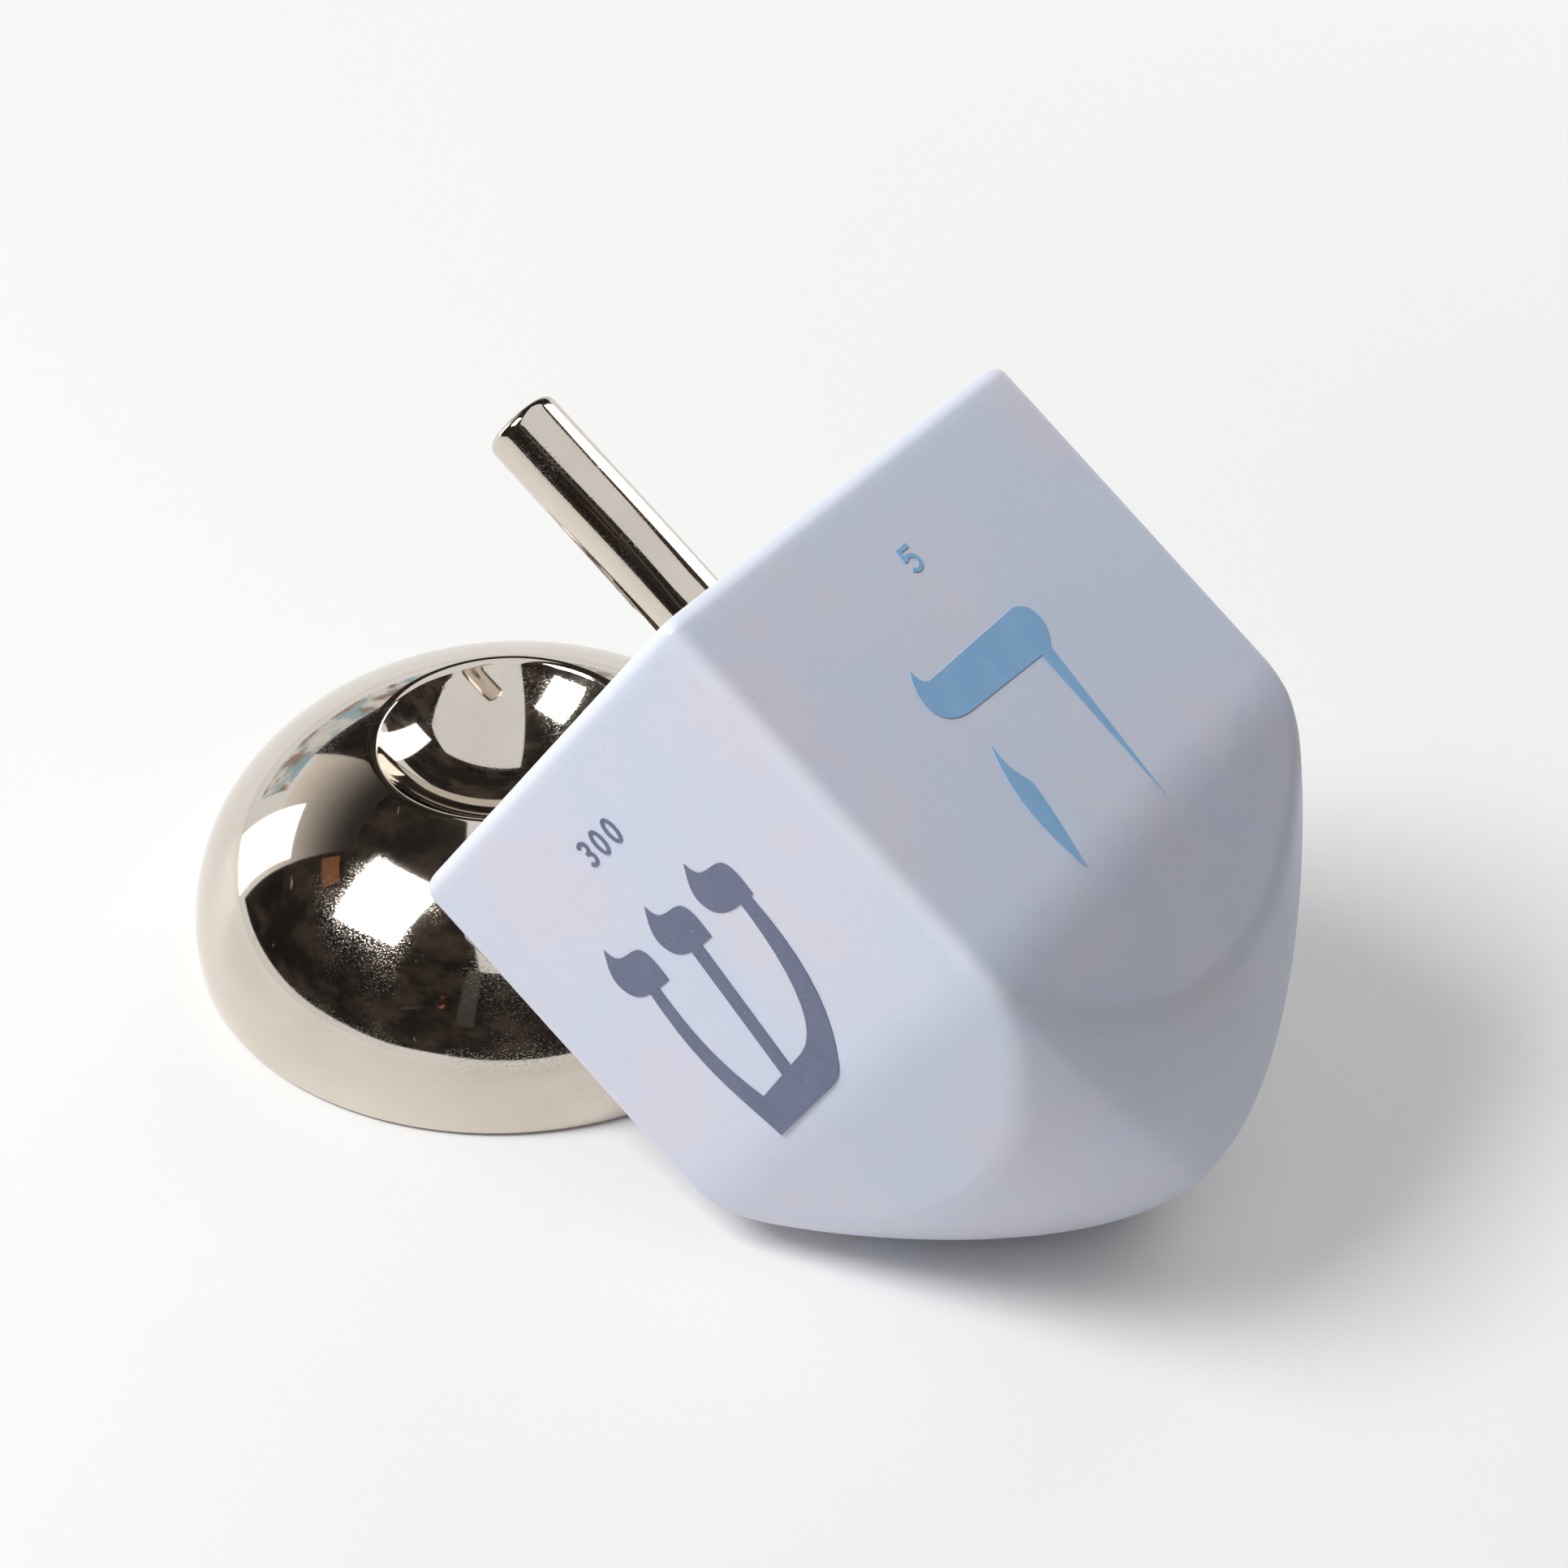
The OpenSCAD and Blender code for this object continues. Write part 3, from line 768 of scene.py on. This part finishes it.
def softbox(name, azimuth, elevation, distance, width, height, radiance,
            roll=0, mirrored=True, lighting=True):
    """A rectangular lamp that faces the object, as bright as radiance, where 1 is white."""
    data = bpy.data.lights.new(name, "AREA")
    data.shape = "RECTANGLE"
    data.size = width
    data.size_y = height
    data.energy = radiance * math.pi * width * height
    lamp = new_object(name, data)
    lamp.location = STAGE_CENTRE + distance * direction(azimuth, elevation)
    aim = (STAGE_CENTRE - lamp.location).to_track_quat("-Z", "Y")
    lamp.rotation_euler = (aim @ Quaternion((0, 0, 1), math.radians(roll))).to_euler()
    lamp.visible_glossy = mirrored
    lamp.visible_diffuse = lighting


floor_paper = paper("floor_paper", (0.90, 0.90, 0.895, 1), rough=0.45, level=0.2, glow=0.2, far_glow=0.75)
stage_quad("floor", -FLOOR_REACH, FLOOR_REACH, -FLOOR_REACH, FLOOR_REACH, 0, floor_paper)

dark = cloth("dark_cloth", (0.055, 0.047, 0.043, 1), (0.155, 0.125, 0.105, 1), scale=2.2)
for name, from_azimuth, to_azimuth, foot in (
    ("screen_left", -155, -70, SCREEN_FOOT),
    ("screen_front", -205, -155, SCREEN_FOOT),
    ("screen_right_front", 110, 155, SCREEN_FOOT),
    ("screen_right", 62, 110, SCREEN_FOOT),
    ("screen_back", -37, 62, MARKS_TOP),
):
    screen(name, from_azimuth, to_azimuth, foot, SCREEN_TOP, SCREEN_OUT, dark)
faded = backdrop(
    "faded_backdrop", (0.07, 0.06, 0.055, 1), low_z=0.55, high_z=1.6, low_glow=0.95, high_glow=0.02)
screen("screen_wedge", -70, -37, WEDGE_FOOT, SCREEN_TOP, SCREEN_OUT, faded)
screen("screen_marks", -46, 16, MARKS_FOOT, MARKS_TOP, SCREEN_OUT, marks())
grey = backdrop(
    "grey_post", (0.13, 0.115, 0.105, 1), low_z=0.6, high_z=1.6, low_glow=0.0, high_glow=0.04)
screen("post", -167, -161, 20, SCREEN_TOP, NEAR_SCREEN_OUT, grey)
amber = cloth("amber_card", (0.60, 0.27, 0.13, 1), (0.75, 0.38, 0.22, 1), scale=20.0)
screen("amber_card", -84, -72, 37, 43, NEAR_SCREEN_OUT, amber)
amber_patches = cloth("amber_strip", (0.05, 0.03, 0.02, 1), (0.85, 0.40, 0.24, 1), scale=14.0)
screen("amber_strip", -157, -155, 26, 33, NEAR_SCREEN_OUT, amber_patches)

# The ceiling leaves a pale opening overhead
card("ceiling_left", -CEILING_REACH, OPEN_LEFT, -CEILING_REACH, CEILING_REACH, dark)
card("ceiling_right", OPEN_RIGHT, CEILING_REACH, -CEILING_REACH, CEILING_REACH, dark)
card("ceiling_back", OPEN_LEFT, OPEN_RIGHT, OPEN_BACK, CEILING_REACH, dark)
card("ceiling_front", OPEN_LEFT, OPEN_RIGHT, -CEILING_REACH, OPEN_FRONT, dark)

softbox("softbox_key", -104, 53, 1.6, width=0.665, height=0.665, radiance=17.8, roll=30)
softbox("softbox_strip", -61, 12, 1.1, width=0.30, height=0.50, radiance=2.3)
softbox("softbox_fill", 22, 34, 0.9, width=0.57, height=0.50, radiance=2.1, mirrored=False)
softbox("softbox_front", -150, 28, 1.2, width=0.60, height=0.60, radiance=0.25, mirrored=False)
softbox("softbox_side", 42, 21, 1.1, width=0.23, height=0.95, radiance=2.0, roll=30, lighting=False)

# The room looks brighter, to the camera and in metal, than the light that it gives
ROOM_COLOUR = (0.97, 0.985, 1.0, 1)
ROOM_LIGHT = 0.42
ROOM_SHOWN = 0.9

world = bpy.data.worlds.new("room")
world.use_nodes = True
tree = world.node_tree
room = tree.nodes["Background"]
room.inputs["Color"].default_value = ROOM_COLOUR
room_level = tree.nodes.new("ShaderNodeMapRange")
tree.links.new(shown_rays(tree), room_level.inputs[0])
room_level.inputs["To Min"].default_value = ROOM_LIGHT
room_level.inputs["To Max"].default_value = ROOM_SHOWN
tree.links.new(room_level.outputs[0], room.inputs["Strength"])
bpy.context.scene.world = world
bpy.context.scene.view_settings.view_transform = "Standard"


# Camera at the photograph's viewing angle, aimed at a point on the table

SENSOR_W = 36.0
PHOTO_FOCAL_PX = 4000
PHOTO_WIDTH_PX = 1932
CAMERA_AIM = Vector((43.56, 35.42, 0)) * MM
CAMERA_DISTANCE = 557.87 * MM
CAMERA_ELEVATION = 37.82
CAMERA_CLIP_END = 100.0

camera_data = bpy.data.cameras.new("camera")
camera_data.sensor_width = SENSOR_W
camera_data.lens = SENSOR_W * PHOTO_FOCAL_PX / PHOTO_WIDTH_PX
camera_data.clip_end = CAMERA_CLIP_END
camera = new_object("camera", camera_data)
camera.location = CAMERA_AIM + CAMERA_DISTANCE * direction(180, CAMERA_ELEVATION)
camera.rotation_euler = (math.radians(90 - CAMERA_ELEVATION), 0, 0)
bpy.context.scene.camera = camera
